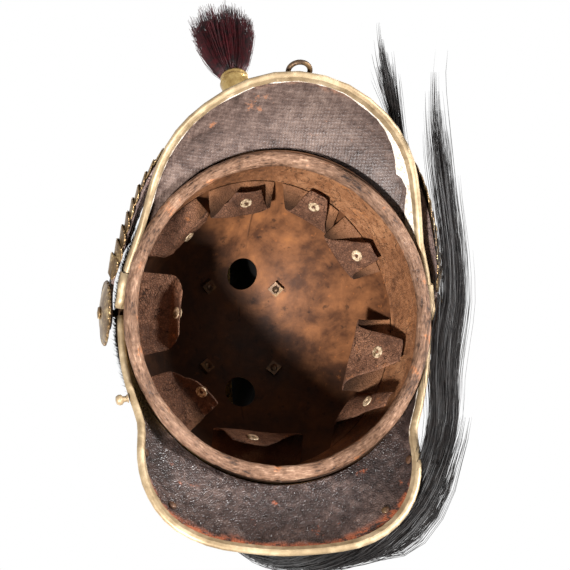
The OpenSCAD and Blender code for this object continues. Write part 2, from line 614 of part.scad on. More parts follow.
plume_wall = 1.6;
module plume_socket() {
  lug_end = plume_at[0] - skull_side(plume_at[1], plume_stud_at[2]) - turban_t - 2 * gap - 1.8;
  stud_end = plume_at[0] - plume_stud_at[0];
  color(brass) translate(plume_at) difference() {
    union() {
      cylinder(d = plume_bore + 2 * plume_wall, h = plume_len);
      translate([0, 0, plume_stud_up]) rotate([0, -90, 0]) cylinder(r = 5, h = lug_end);
      translate([0, 0, plume_stud_up]) rotate([0, -90, 0]) cylinder(d = plume_stud_d, h = stud_end);
    }
    translate([0, 0, plume_floor]) cylinder(d = plume_bore, h = plume_len);
  }
}

module at_rosette(s) {
  translate([s * (strap_x + strap_t / 2 + 2 * gap), 0, rosette_z]) rotate([0, s * 90, 0]) children();
}

module rosette(s) {
  r = rosette_d / 2;
  arc = [for (i = [0:8]) i / 8];
  color(brass) at_rosette(s) difference() {
    rotate_extrude($fn = 72) polygon(concat(
      [for (t = arc) [lerp(screw_d / 2 + 0.1, r - 2, t), 4.6 - 3.2 * t * t]],
      [[r - 1, 2], [r, 1.2], [r, 0.2], [r - 1.6, 0.2]],
      [for (t = arc) [lerp(r - 2.4, screw_d / 2 + 0.1, t), 3.8 - 3.2 * pow(1 - t, 2)]]));
    for (i = [0:23]) rotate([0, 0, 15 * i]) translate([r + 0.4, 0, -1]) cylinder(r = 1.2, h = 6, $fn = 16);
  }
}

module rosette_screws() {
  inside = skull_half_w - 0.2 - strap_x - strap_t / 2 - 2 * gap;
  for (s = [-1, 1]) color(brass) at_rosette(s) rotate_extrude() polygon([[0, inside], [screw_d / 2, inside],
    [screw_d / 2, 4.9], [screw_d * 0.9, 4.9], [screw_d * 0.75, 6], [0, 6.6]]);
}

module strap_leather(bulge, from, to) {
  path = strap_path(bulge);
  run = run_lengths(path);
  sheet([for (i = [from:to]) let (t = tangent(path, i), w = square_to(strap_way[i], t),
      half = strap_half(run[i] / run[len(run) - 1]), on = i > 0 && i == from ? gap : 0)
    [for (j = [-1:1]) path[i] + w * half * j + t * on]], strap_t);
}

module strap_rear(s, bulge) {
  color(leather) mirror([s < 0 ? 1 : 0, 0, 0]) difference() {
    union() {
      translate([strap_x - strap_t / 2 - 0.05, 0, rosette_z]) rotate([0, 90, 0])
        cylinder(r = strap_end_r, h = strap_t + 0.1);
      strap_leather(bulge, 0, strap_split);
    }
    translate([strap_x - 10, 0, rosette_z]) rotate([0, 90, 0])
      cylinder(d = screw_d + 2 * strap_play, h = 20);
  }
}

module strap_front(s, bulge) {
  color(leather) mirror([s < 0 ? 1 : 0, 0, 0])
    strap_leather(bulge, strap_split, len(strap_path(bulge)) - 1);
}

// One chin scale: a crescent cut from a shallow tube, its round edge lifted over the next scale
module chin_scale(w) {
  r = w * 0.72;
  rotate([scale_tilt, 0, 0]) intersection() {
    translate([0, 0, -r]) rotate([-90, 0, 0]) difference() {
      cylinder(r = r, h = 2 * w, center = true);
      cylinder(r = r - scale_t, h = 3 * w, center = true);
    }
    translate([0, 0, -w / 2]) linear_extrude(w) difference() {
      circle(d = w);
      translate([0, -w * 0.62]) circle(d = w * 0.9);
    }
  }
}

module chin_scales(s, bulge, front) {
  path = strap_path(bulge);
  run = run_lengths(path);
  long = run[len(run) - 1];
  split = run[strap_split] - scale_pitch / 2;
  mirror([s < 0 ? 1 : 0, 0, 0]) for (at = [first_scale:scale_pitch:long - scale_tip_w / 2 - 1])
    if ((at > split) == front)
      let (k = max([for (i = [0:len(run) - 2]) if (run[i] <= at) i]),
        f = (at - run[k]) / (run[k + 1] - run[k]), p = lerp(path[k], path[k + 1], f),
        t = unit(lerp(tangent(path, k), tangent(path, k + 1), f)),
        w = square_to(lerp(strap_way[k], strap_way[k + 1], f), t), o = cross(w, t),
        wide = lerp(scale_w, scale_tip_w, at / long), c = p + o * scale_lift(wide))
      color(brass) multmatrix([[w[0], t[0], o[0], c[0]], [w[1], t[1], o[1], c[1]],
        [w[2], t[2], o[2], c[2]], [0, 0, 0, 1]]) chin_scale(wide);
}

// Ring and hooks that join the two straps over the visor's tip
ring_r = 7.25;
ring_wire = 1.75;
hook_wire = 1.2;
ring_at = [1, -visor_y - 3.2, 7.9];
visor_slope = 49;
module on_tip() {
  translate(ring_at) rotate([visor_slope, 0, 0]) children();
}
module hook(x, lean) {
  reach = ring_r + ring_wire + hook_wire;
  route = spline([[x + lean, reach + 5, 5.6], [x + lean / 2, reach + 1, 4.9], [x, ring_r - 0.3, 4],
    [x, ring_r - 3.3, 2.4], [x, ring_r - 4, 0.2], [x, ring_r - 3.8, -0.8]], 3);
  tube([for (i = [0:len(route) - 1]) let (t = tangent(route, i), n = square_to([1, 0, 0], t),
      b = cross(n, t))
    [for (c = [0:7]) route[i] + (n * cos(45 * c) + b * sin(45 * c)) * hook_wire]]);
}

module joining_ring() {
  color(patina) on_tip() rotate_extrude() translate([ring_r, 0]) circle(r = ring_wire, $fn = 24);
  color(patina) on_tip() hook(2.6, 4);
}

module joining_hook() {
  color(patina) on_tip() hook(-2.6, -5);
}

module hook_stud() {
  color(brass) translate(neck_grid[6][4] + [-2.9, 0.5, 0.2]) rotate([0, -90, -12]) rotate_extrude()
    polygon([[0, 0], [3, 0], [2, 1.2], [2, 3], [3.4, 4.4], [3.6, 6], [2.6, 7.8], [0, 8.4]]);
}

skull_shell();
fur_turban();
visor_leather();
visor_rim();
neck_guard_leather();
neck_guard_rim();
neck_guard_rivets();
side_edging(1);  // side_edging_left
side_edging(-1);  // side_edging_right
sweatband_roll();
liner_band();
liner_tongues();
liner_eyelets();
crest_side(1);  // crest_left_side
crest_side(-1);  // crest_right_side
crest_front_plate();
crest_top_strip();
crest_flange();
crest_bolts();
crest_nuts();
tuft_cup();
tuft_collar();
tuft_hair();
mane_collar();
hair_lock(rear_fall, hair_places, 1, false);  // mane_rear_fall
hair_lock(side_lock, hair_places, 1, true);  // mane_side_lock
hair_lock(front_lock, few_hair_places, 1, true);  // mane_front_lock
plume_socket();
rosette(1);  // rosette_left
rosette(-1);  // rosette_right
rosette_screws();
strap_rear(1, left_bulge);  // chin_strap_left_rear
strap_front(1, left_bulge);  // chin_strap_left_front
chin_scales(1, left_bulge, false);  // chin_scales_left_rear
chin_scales(1, left_bulge, true);  // chin_scales_left_front
strap_rear(-1, right_bulge);  // chin_strap_right_rear
strap_front(-1, right_bulge);  // chin_strap_right_front
chin_scales(-1, right_bulge, false);  // chin_scales_right_rear
chin_scales(-1, right_bulge, true);  // chin_scales_right_front
joining_ring();
joining_hook();
hook_stud();
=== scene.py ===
import json
import math
import random

import bpy
from mathutils import Matrix, Vector, noise


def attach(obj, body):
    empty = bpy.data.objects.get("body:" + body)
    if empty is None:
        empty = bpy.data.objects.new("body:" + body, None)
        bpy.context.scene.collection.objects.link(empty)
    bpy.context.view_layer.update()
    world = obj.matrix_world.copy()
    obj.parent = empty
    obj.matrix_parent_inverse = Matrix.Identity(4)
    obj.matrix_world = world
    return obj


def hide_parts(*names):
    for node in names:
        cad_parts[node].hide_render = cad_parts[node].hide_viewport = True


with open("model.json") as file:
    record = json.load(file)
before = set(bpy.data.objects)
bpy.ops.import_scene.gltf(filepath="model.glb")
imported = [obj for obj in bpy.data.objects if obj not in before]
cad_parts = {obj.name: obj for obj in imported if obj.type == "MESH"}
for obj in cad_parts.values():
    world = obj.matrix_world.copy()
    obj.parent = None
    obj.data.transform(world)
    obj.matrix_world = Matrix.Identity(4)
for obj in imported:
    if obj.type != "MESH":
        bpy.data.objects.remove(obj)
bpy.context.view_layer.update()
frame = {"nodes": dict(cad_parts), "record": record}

# The camera looks up into the helmet from under the visor side, with the visor at the top of the picture.
# The head opening's middle, 52 mm above the standing plane, falls at pixel (280, 316) of a 570 pixel square.
lean_side, lean_front = math.radians(12.3), math.radians(6.5)
distance, metres_per_pixel, picture_pixels, sensor_width = 1.5, 0.00067, 570, 36
opening, opening_pixel, camera_roll = Vector((0, 0, 0.052)), (280, 316), math.radians(0.8)
ahead = Vector((math.tan(lean_side), -math.tan(lean_front), 1)).normalized()
upward = (Vector((0, -1, 0)) - ahead * -ahead.y).normalized()
rightward = ahead.cross(upward)
rightward, upward = (rightward * math.cos(camera_roll) + upward * math.sin(camera_roll),
                     upward * math.cos(camera_roll) - rightward * math.sin(camera_roll))
eye = (opening - ahead * distance - rightward * (opening_pixel[0] - picture_pixels / 2) * metres_per_pixel
       - upward * (picture_pixels / 2 - opening_pixel[1]) * metres_per_pixel)
camera = bpy.data.objects.new("camera", bpy.data.cameras.new("camera"))
bpy.context.scene.collection.objects.link(camera)
camera.matrix_world = Matrix.Translation(eye) @ Matrix((rightward, upward, -ahead)).transposed().to_4x4()
camera.data.sensor_width = sensor_width
camera.data.lens = sensor_width * distance / metres_per_pixel / picture_pixels
camera.data.clip_start, camera.data.clip_end = 0.05, 20
bpy.context.scene.camera = camera


# Finishes are written as sums: a Level is a number or colour that varies over a surface, and each sum with
# one adds its node to the finish. A Finish is one material, and all its other nodes come from node().
class Level:
    def __init__(self, finish, socket):
        self.finish, self.socket = finish, socket

    def math(self, operation, *values):
        return self.finish.node("ShaderNodeMath", {"operation": operation}, dict(enumerate(values)))

    def __add__(self, other):
        return self.math("ADD", self, other)

    def __sub__(self, other):
        return self.math("SUBTRACT", self, other)

    def __rsub__(self, other):
        return self.math("SUBTRACT", other, self)

    def __mul__(self, other):
        return self.math("MULTIPLY", self, other)

    __radd__, __rmul__ = __add__, __mul__

    def size(self):
        return self.math("ABSOLUTE", self)

    def root(self):
        return self.math("SQRT", self)

    def band(self, low, high):
        """Rises softly from 0 at low to 1 at high, or falls where high is the smaller."""
        return self.finish.node("ShaderNodeMapRange", {"interpolation_type": "SMOOTHSTEP"},
                                {0: self, 1: low, 2: high})


class Finish:
    def __init__(self, name, fixed):
        self.material = bpy.data.materials.new(name)
        self.material.use_nodes = True
        self.tree = self.material.node_tree
        self.shader = self.tree.nodes["Principled BSDF"]
        for socket, value in fixed.items():
            self.shader.inputs[socket].default_value = value

    def node(self, kind, settings=None, inputs=None, output=0):
        made = self.tree.nodes.new(kind)
        for key, value in (settings or {}).items():
            if key == "stops":
                while len(made.color_ramp.elements) < len(value):
                    made.color_ramp.elements.new(1)
                for element, (place, colour) in zip(made.color_ramp.elements, value):
                    element.position, element.color = place, colour
            else:
                setattr(made, key, value)
        for key, value in (inputs or {}).items():
            if isinstance(value, Level):
                self.tree.links.new(value.socket, made.inputs[key])
            else:
                made.inputs[key].default_value = value
        return Level(self, made.outputs[output])

    def place(self, stretch=(1, 1, 1)):
        here = self.node("ShaderNodeTexCoord", output=3)
        return self.node("ShaderNodeMapping", None, {0: here, 3: stretch})

    def unrolled(self):
        """Where a sheet's point lies along and across it, from 0 to 1."""
        return self.node("ShaderNodeUVMap", {"uv_map": "UVMap"})

    def along(self, axis, source=None):
        """How far a point lies along x, y or z, given as 0, 1 or 2."""
        return self.node("ShaderNodeSeparateXYZ", None, {0: source or self.place()}, axis)

    def grain(self, scale, detail=4, rough=0.55, stretch=(1, 1, 1), warp=0):
        return self.node("ShaderNodeTexNoise", None, {"Vector": self.place(stretch), "Scale": scale,
                         "Detail": detail, "Roughness": rough, "Distortion": warp})

    def pores(self, scale, wide):
        """Pebbled grain: 0 in the creases between its cells and 1 on them."""
        creases = self.node("ShaderNodeTexVoronoi", {"feature": "DISTANCE_TO_EDGE"},
                            {"Vector": self.place(), "Scale": scale})
        return creases.band(0.0, wide)

    def mix(self, share, first, second):
        return self.node("ShaderNodeMix", {"data_type": "RGBA"}, {0: share, 6: first, 7: second}, 2)

    def ramp(self, level, *stops):
        return self.node("ShaderNodeValToRGB", {"stops": stops}, {0: level})

    def feed(self, socket, level):
        self.tree.links.new(level.socket, self.shader.inputs[socket])

    def relief(self, height, depth, below=None):
        inputs = {"Height": height, "Distance": depth}
        if below:
            inputs["Normal"] = below
        return self.node("ShaderNodeBump", None, inputs)


def tone(red, green, blue):
    """A colour as it looks on a screen, from 0 to 255, turned into the light it stands for."""
    def light(value):
        value /= 255
        return value / 12.92 if value <= 0.04045 else ((value + 0.055) / 1.055) ** 2.4
    return light(red), light(green), light(blue), 1


# Plain studio: a key lamp below on the picture's left, a weaker one below on its right for what lies in the
# shade of the roll, two wide lamps above for the outside, and an even white surround.
# The pale floor is seen from above only, so the picture from below looks past it.
def lamp(name, place, aim, size, power):
    made = bpy.data.objects.new(name, bpy.data.lights.new(name, "AREA"))
    made.data.shape, made.data.size, made.data.energy = "DISK", size, power
    made.location = place
    made.rotation_euler = (Vector(aim) - Vector(place)).to_track_quat("-Z", "Y").to_euler()
    bpy.context.scene.collection.objects.link(made)


lamp("key_lamp", (-0.82, 0.86, -1.3), (0.02, 0, 0.1), 0.2, 78)
lamp("fill_lamp", (1.2, -0.3, -0.72), (-0.06, 0, 0.08), 0.4, 50)
lamp("top_lamp", (0.7, -0.9, 1.5), (0, 0, 0.1), 1.1, 26)
lamp("back_lamp", (-0.9, 1.1, 1.2), (0, 0, 0.1), 1.1, 14)

world = bpy.data.worlds.new("studio")
bpy.context.scene.world = world
world.use_nodes = True
surround = world.node_tree.nodes["Background"]
surround.inputs["Color"].default_value = (1, 1, 1, 1)
path = world.node_tree.nodes.new("ShaderNodeLightPath")
seen, either = (world.node_tree.nodes.new("ShaderNodeMath") for step in range(2))
seen.operation = either.operation = "MAXIMUM"
shade_level, white_level = 0.05, 1
level = world.node_tree.nodes.new("ShaderNodeMapRange")
level.inputs["To Min"].default_value, level.inputs["To Max"].default_value = shade_level, white_level
for source, target in ((path.outputs["Is Camera Ray"], seen.inputs[0]),
                       (path.outputs["Is Glossy Ray"], seen.inputs[1]),
                       (seen.outputs[0], either.inputs[0]),
                       (path.outputs["Is Transmission Ray"], either.inputs[1]),
                       (either.outputs[0], level.inputs["Value"]),
                       (level.outputs[0], surround.inputs["Strength"])):
    world.node_tree.links.new(source, target)

bpy.ops.object.select_all(action="DESELECT")
bpy.ops.mesh.primitive_plane_add(size=6, location=(0, 0, 0))
floor = bpy.context.object
floor.name = "floor"
pale = Finish("pale_floor", {"Base Color": (0.86, 0.86, 0.86, 1), "Roughness": 0.9,
                             "Specular IOR Level": 0.1})
behind = pale.node("ShaderNodeNewGeometry", output=6)
camera_ray = pale.node("ShaderNodeLightPath", output=0)
clear = pale.node("ShaderNodeBsdfTransparent")
shown = pale.node("ShaderNodeMixShader", None, {0: (1 - behind) * camera_ray, 1: clear})
pale.tree.links.new(pale.shader.outputs[0], shown.socket.node.inputs[2])
pale.tree.links.new(shown.socket, pale.tree.nodes["Material Output"].inputs["Surface"])
floor.data.materials.append(pale.material)
floor.visible_shadow = False


# Skull: two halves of sheet brass brazed along the middle, 0.9 mm thick, with two vent holes in the crown.
# It is a stretched ball cut off at the edge, given its wall and drilled. Bright outside, it is brown inside,
# with a painted shadow over part of the inside and painted shade on the outside's lowest band.
def millimetres(*values):
    return Vector(values) / 1000


def nothing_selected():
    if bpy.context.object and bpy.context.object.mode == "EDIT":
        bpy.ops.object.mode_set(mode="OBJECT")
    bpy.ops.object.select_all(action="DESELECT")


def named(name):
    made = bpy.context.object
    made.name = made.data.name = name
    bpy.ops.object.transform_apply(location=True, rotation=True, scale=True)
    return made


def changed(piece, kind, **settings):
    """Adds a modifier to the piece and applies it."""
    nothing_selected()
    bpy.context.view_layer.objects.active = piece
    piece.select_set(True)
    step = piece.modifiers.new(kind.lower(), kind)
    for key, value in settings.items():
        setattr(step, key, value)
    bpy.ops.object.modifier_apply(modifier=step.name)
    return piece


def edited(piece):
    """Opens the piece for editing, with all of it selected."""
    nothing_selected()
    bpy.context.view_layer.objects.active = piece
    piece.select_set(True)
    bpy.ops.object.mode_set(mode="EDIT")
    bpy.ops.mesh.select_all(action="SELECT")


def cut_flat(piece, height, keep_above):
    edited(piece)
    bpy.ops.mesh.bisect(plane_co=(0, 0, height), plane_no=(0, 0, 1), clear_inner=keep_above,
                        clear_outer=not keep_above)
    bpy.ops.object.mode_set(mode="OBJECT")


def smoothed(piece, degrees=40):
    nothing_selected()
    bpy.context.view_layer.objects.active = piece
    piece.select_set(True)
    bpy.ops.object.shade_smooth_by_angle(angle=math.radians(degrees))
    return piece


def dressed(piece, finish, body, *nodes):
    """Gives the piece its finish and its body, and hides the nodes it replaces."""
    piece.data.materials.clear()
    piece.data.materials.append(finish.material)
    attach(piece, body)
    if nodes:
        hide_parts(*nodes)
        slot = next(part["material_slot"] for part in frame["record"]["subparts"] if part["node"] == nodes[0])
    return piece


skull_half, skull_wall, skull_long = 0.102, 0.0009, 1.088
belt, skull_edge, crown = 0.06, 0.044, 0.196
vent_out, vent_height, vent_radius = 0.043, 0.186, 0.011


def skull_ball(name, out, segments=128):
    """A ball stretched to the skull's outer surface, moved outward by out metres."""
    nothing_selected()
    half = skull_half + skull_wall + out
    bpy.ops.mesh.primitive_uv_sphere_add(segments=segments, ring_count=segments // 2, radius=1,
                                         location=(0, 0, belt),
                                         scale=(half, half * skull_long, crown - belt + skull_wall + out))
    return named(name)


def drilled(piece, place, radius):
    nothing_selected()
    bpy.ops.mesh.primitive_cylinder_add(vertices=40, radius=radius, depth=0.03, location=place)
    drill = named("drill")
    changed(piece, "BOOLEAN", operation="DIFFERENCE", object=drill, solver="EXACT")
    bpy.data.objects.remove(drill)


skull = skull_ball("skull", 0)
cut_flat(skull, skull_edge, True)
changed(skull, "SOLIDIFY", thickness=skull_wall, offset=-1)
for vent_y in (-vent_out, vent_out):
    drilled(skull, (0, vent_y, vent_height), vent_radius)
smoothed(skull, 50)

patina = Finish("skull_patina", {"Specular IOR Level": 0.2})
inner = patina.node("ShaderNodeVectorMath", {"operation": "DOT_PRODUCT"}, {
    0: patina.node("ShaderNodeTexCoord", output=1),
    1: patina.node("ShaderNodeVectorMath", {"operation": "SUBTRACT"},
                   {0: patina.node("ShaderNodeTexCoord", output=3), 1: (0, 0, belt)})}, 1).band(0.02, -0.02)
blotch = patina.grain(28, 8, 0.62, warp=0.6)
spots = patina.grain(140, 4, 0.6)
run_down = patina.grain(60, 6, 0.6, (1, 1, 0.16))
across, lengthways, height = (patina.along(axis) for axis in range(3))
inside = patina.ramp(blotch * 0.55 + run_down * 0.45, (0.3, tone(34, 20, 14)), (0.44, tone(76, 46, 28)),
                     (0.56, tone(122, 78, 48)), (0.7, tone(160, 104, 60)))
inside = patina.mix(spots.band(0.6, 0.7) * 0.6, inside, tone(24, 16, 12))
inside = patina.mix(spots.band(0.36, 0.3) * 0.5, inside, tone(150, 92, 52))
# Painted shadow: towards the wearer's right and the back the inside turns near black, with a soft diagonal
# edge.
painted_shadow = (across * 0.75 - lengthways * 0.66 + (blotch - 0.5) * 0.03).band(0.046, 0.008)
inside = patina.mix(painted_shadow * 0.72, inside, tone(12, 8, 6))
outside = patina.ramp(blotch, (0.3, tone(132, 104, 58)), (0.5, tone(176, 144, 86)),
                      (0.75, tone(200, 170, 110)))
# Painted shade: the outside's lowest band, beside the roll and the guards' roots, is darkened and made less
# metallic.
painted_shade_lip = (height + (blotch - 0.5) * 0.006).band(0.054, 0.050)
outside = patina.mix(painted_shade_lip, outside, tone(40, 28, 20))
seam = (1 - (across + (run_down - 0.5) * 0.0012).size().band(0.0002, 0.0009)) * blotch.band(0.5, 0.6)
patina.feed("Base Color", patina.mix(inner, outside, patina.mix(seam * 0.5, inside, tone(22, 14, 10))))
patina.feed("Metallic", 0.95 - inner * 0.85 - painted_shade_lip * 0.3)
patina.feed("Roughness", 0.28 + inner * 0.26 + spots * 0.16)
patina.feed("Normal", patina.relief(spots, 0.0003, patina.relief(blotch + seam * 0.4, 0.0005)))
dressed(skull, patina, "helmet", "skull_shell")

# Liner: a band of thin tan lambskin glued to the wall, rising from the roll to where its tongues begin.
# A thin ring is cut from the skull's own shape, and its top edge and face are puckered.
liner_gap, liner_thick, liner_low, liner_top = 0.0012, 0.0014, 0.0523, 0.111
band = skull_ball("liner_band", -liner_gap, 192)
cut_flat(band, liner_low, True)
cut_flat(band, liner_top, False)
for vertex in band.data.vertices:
    across_wall = Vector((vertex.co.x, vertex.co.y, 0)).normalized()
    pucker = noise.noise(Vector((vertex.co.x, vertex.co.y, vertex.co.z * 0.35)) * 45)
    vertex.co -= across_wall * (0.0006 + 0.0006 * pucker)
changed(band, "SOLIDIFY", thickness=liner_thick - 0.0004, offset=-1)
smoothed(band)


def leather_finish(name, dark, middle, light, worn, pore, rough, contrast, gloss=0.28):
    """Old leather: three shades by wear, grain with dark borders, thin cracks and rubbed orange spots."""
    made = Finish(name, {"Specular IOR Level": gloss})
    wear = made.grain(24, 8, 0.66, warp=0.5)
    fine = made.grain(230, 6, 0.65)
    pores = made.pores(pore, 0.22)
    line = made.grain(75, 5, 0.6, warp=1.2)
    crack = (line - 0.5).size().band(0.011, 0.002) * wear.band(0.4, 0.56)
    colour = made.ramp(wear * 0.6 + fine * 0.4, (0.34, dark), (0.49, middle), (0.64, light))
    colour = made.mix((1 - pores) * contrast, colour, dark)
    colour = made.mix(made.grain(46, 6, 0.7).band(0.58, 0.68) * fine.band(0.42, 0.6) * 0.7, colour, worn)
    made.colour = made.mix(crack * 0.85, colour, tone(22, 14, 10))
    made.feed("Base Color", made.colour)
    made.feed("Roughness", rough + (fine - 0.5) * 0.5)
    made.feed("Normal", made.relief(pores - crack * 2, 0.00022, made.relief(wear + fine * 0.6, 0.0011)))
    return made


tan_band = leather_finish("tan_band", tone(62, 38, 25), tone(132, 88, 58), tone(170, 122, 86),
                          tone(180, 114, 62), 620, 0.5, 0.15)
dressed(band, tan_band, "helmet", "liner_band")

# Tongues: nine flaps of the same lambskin that lean inward, fold over and hang down, to be drawn together
# by a cord through their eyelets. Each is a grid laid through its root, fold and tip, then thickened.
# A row gives the root's place and spread in degrees, the fold's and the tip's place in degrees, share of
# the radius and height in mm, and the half widths of fold and tip in mm.
tongue_rows = (
    (222, 17, 226, 0.85, 116, 228, 0.82, 125, 23, 12), (260, 15, 259, 0.78, 125, 262, 0.92, 105, 21, 9),
    (292, 14, 297, 0.84, 127, 294, 1.00, 100, 18, 7), (323, 14, 321, 0.77, 123, 328, 0.98, 97, 18, 6.5),
    (12, 16, 15, 0.73, 119, 10, 1.03, 82, 26, 8), (45, 13, 41, 0.86, 112, 31, 1.01, 66, 13, 5.5),
    (92, 20, 92, 0.75, 106, 100, 0.86, 84, 32, 12), (141, 15, 138, 0.73, 113, 131, 0.64, 104, 19, 11),
    (182, 18, 185, 0.69, 114, 184, 0.65, 103, 26, 16))
tongue_root, root_radius, liner_radius = 0.112, 0.094, 0.0918
tongue_fold, tongue_columns, tongue_steps = 0.005, 8, 4


def blended(first, second, share):
    return first + (second - first) * share


def curve_through(points, steps):
    """A smooth curve through the points, with so many steps between each two."""
    line = []
    last = len(points) - 1
    for count in range(last * steps + 1):
        k = min(count // steps, last - 1)
        t = count / steps - k
        a, b, c, d = points[max(k - 1, 0)], points[k], points[k + 1], points[min(k + 2, last)]
        line.append((b * 2 + (c - a) * t + (a * 2 - b * 5 + c * 4 - d) * t * t
                     + (b * 3 - a - c * 3 + d) * t ** 3) * 0.5)
    return line


def wall_point(angle, height):
    inward = liner_gap + liner_thick / 2 + 0.0005
    half = (skull_half + skull_wall - inward) * math.sqrt(
        1 - ((height - belt) / (crown - belt + skull_wall - inward)) ** 2)
    return Vector((half * math.cos(angle), half * skull_long * math.sin(angle), height))


def liner_point(degrees, share, height):
    angle = math.radians(degrees)
    return Vector((liner_radius * share * math.cos(angle),
                   liner_radius * share * skull_long * math.sin(angle), height / 1000))


def laid_grid(name, rows):
    """A sheet whose vertices lie at the points of the rows; its UV map runs along and across them."""
    nothing_selected()
    along, across = len(rows) - 1, len(rows[0]) - 1
    bpy.ops.mesh.primitive_grid_add(x_subdivisions=along, y_subdivisions=across, size=1)
    piece = named(name)
    for vertex in piece.data.vertices:
        vertex.co = rows[round((vertex.co.x + 0.5) * along)][round((vertex.co.y + 0.5) * across)]
    return piece


def joined(name, pieces):
    nothing_selected()
    for piece in pieces:
        piece.select_set(True)
    bpy.context.view_layer.objects.active = pieces[0]
    bpy.ops.object.join()
    return named(name)


flaps = []
for number, row in enumerate(tongue_rows):
    root, spread, fold, fold_in, fold_z, tip, tip_in, tip_z, fold_half, tip_half = row
    start = wall_point(math.radians(root), tongue_root)
    top, end = liner_point(fold, fold_in, fold_z), liner_point(tip, tip_in, tip_z)
    rise, fall = (top - start).normalized(), (end - top).normalized()
    before, after = top - rise * tongue_fold, top + fall * tongue_fold
    bent = (before + after) / 4 + (top + (rise - fall) * 0.0012) / 2
    middle = [start, blended(start, before, 0.5), before, bent, after, blended(after, end, 0.5), end]
    shares = [j / tongue_columns * 2 - 1 for j in range(tongue_columns + 1)]
    rows = []
    for place, point in enumerate(middle):
        v = place / (len(middle) - 1)
        half = (blended(root_radius * math.radians(spread), fold_half / 1000, v * 2) if v < 0.5
                else blended(fold_half / 1000, tip_half / 1000, v * 2 - 1))
        angle = math.atan2(point.y / skull_long, point.x)
        side = Vector((-math.sin(angle), math.cos(angle) * skull_long, 0)).normalized()
        slack = min(1, v * 3)
        rows.append([blended(wall_point(math.radians(root + spread * share), tongue_root),
                             point + side * half * share, slack) for share in shares])
    lines = [curve_through([row[j] for row in rows], tongue_steps) for j in range(tongue_columns + 1)]
    for share, line in zip(shares, lines):
        for i, point in enumerate(line):
            free = i / (len(line) - 1)
            inward = Vector((-point.x, -point.y, 0)).normalized()
            curl = abs(share) ** 3 * free * 0.003
            ripple = noise.noise(point * 60 + Vector((number * 5, 0, 0))) * 0.0011 * min(1, free * 3)
            point += inward * (ripple - curl * (1 if number % 2 else -0.6)) * (1 if free < 0.8 else 0.4)
    flap = laid_grid(f"flap_{number}", [[line[i] for line in lines] for i in range(len(lines[0]))])
    changed(flap, "SOLIDIFY", thickness=liner_thick, offset=0)
    changed(flap, "SUBSURF", levels=1, render_levels=1)
    flaps.append(flap)
tongues = joined("liner_tongues", flaps)
smoothed(tongues, 60)
# From root to fold the flaps keep the band's tan, with a painted shadow that darkens them into the bend,
# except at the wearer's right.
grained = leather_finish("grained_tongue", tone(48, 31, 23), tone(104, 71, 53), tone(148, 107, 83),
                         tone(164, 104, 60), 560, 0.44, 0.5, 0.15)
beside = grained.along(0).band(-0.055, -0.035)
edge = grained.along(0, grained.unrolled()) + (grained.grain(60) - 0.5) * 0.12
stem, painted_fold_shadow = edge.band(0.47, 0.4) * beside, edge.band(0.1, 0.36) * edge.band(0.5, 0.45) * beside
tanned = grained.ramp(grained.grain(24, 6, 0.6), (0.36, tone(70, 44, 29)), (0.62, tone(146, 100, 68)))
grained.feed("Base Color", grained.mix(painted_fold_shadow * 0.85, grained.mix(stem, grained.colour, tanned),
                                       tone(22, 13, 8)))
grained.feed("Roughness", 0.6 + painted_fold_shadow * 0.35)
dressed(tongues, grained, "helmet", "liner_tongues")


# Eyelets: small two-part rings of thin brass, once lacquered cream, one in each tongue.
# They keep their solids' shape: a copy is merged and smoothed, as with all small metal parts below.
def copied(node, degrees=35):
    """A copy of a solid with its loose triangles merged, ready for a finish."""
    source = frame["nodes"][node]
    piece = source.copy()
    piece.data = source.data.copy()
    for key in list(piece.keys()):
        del piece[key]
    piece.parent = None
    piece.name = piece.data.name = node + "_piece"
    bpy.context.scene.collection.objects.link(piece)
    edited(piece)
    bpy.ops.mesh.remove_doubles(threshold=0.00001)
    bpy.ops.mesh.tris_convert_to_quads(face_threshold=math.radians(30), shape_threshold=math.radians(30))
    bpy.ops.object.mode_set(mode="OBJECT")
    return smoothed(piece, degrees)


def brass_finish(name, dull, bright, rough, tarnish, scale, metal=0.9):
    """Worn brass: bright where rubbed, brown where dirt gathers, with fine scratches."""
    made = Finish(name, {})
    cloud = made.grain(scale, 7, 0.62, warp=0.5)
    specks = made.grain(scale * 7, 3, 0.6)
    scratch = made.grain(300, 2, 0.5, (1, 0.06, 1))
    colour = made.ramp(cloud * 0.7 + specks * 0.3, (0.5 - 0.2 * tarnish, tone(96, 74, 48)), (0.5, dull),
                       (0.62, bright))
    made.feed("Base Color", colour)
    made.feed("Metallic", metal - specks.band(0.6, 0.72) * 0.5)
    made.feed("Roughness", rough + (specks - 0.5) * 0.3 + (0.5 - cloud) * 0.3)
    made.feed("Normal", made.relief(scratch + specks * 0.4, 0.00004, made.relief(cloud, 0.00012)))
    return made


cream_brass = brass_finish("cream_eyelet", tone(200, 174, 140), tone(232, 212, 182), 0.45, 0.3, 300, 0.35)
dressed(copied("liner_eyelets"), cream_brass, "helmet", "liner_eyelets")

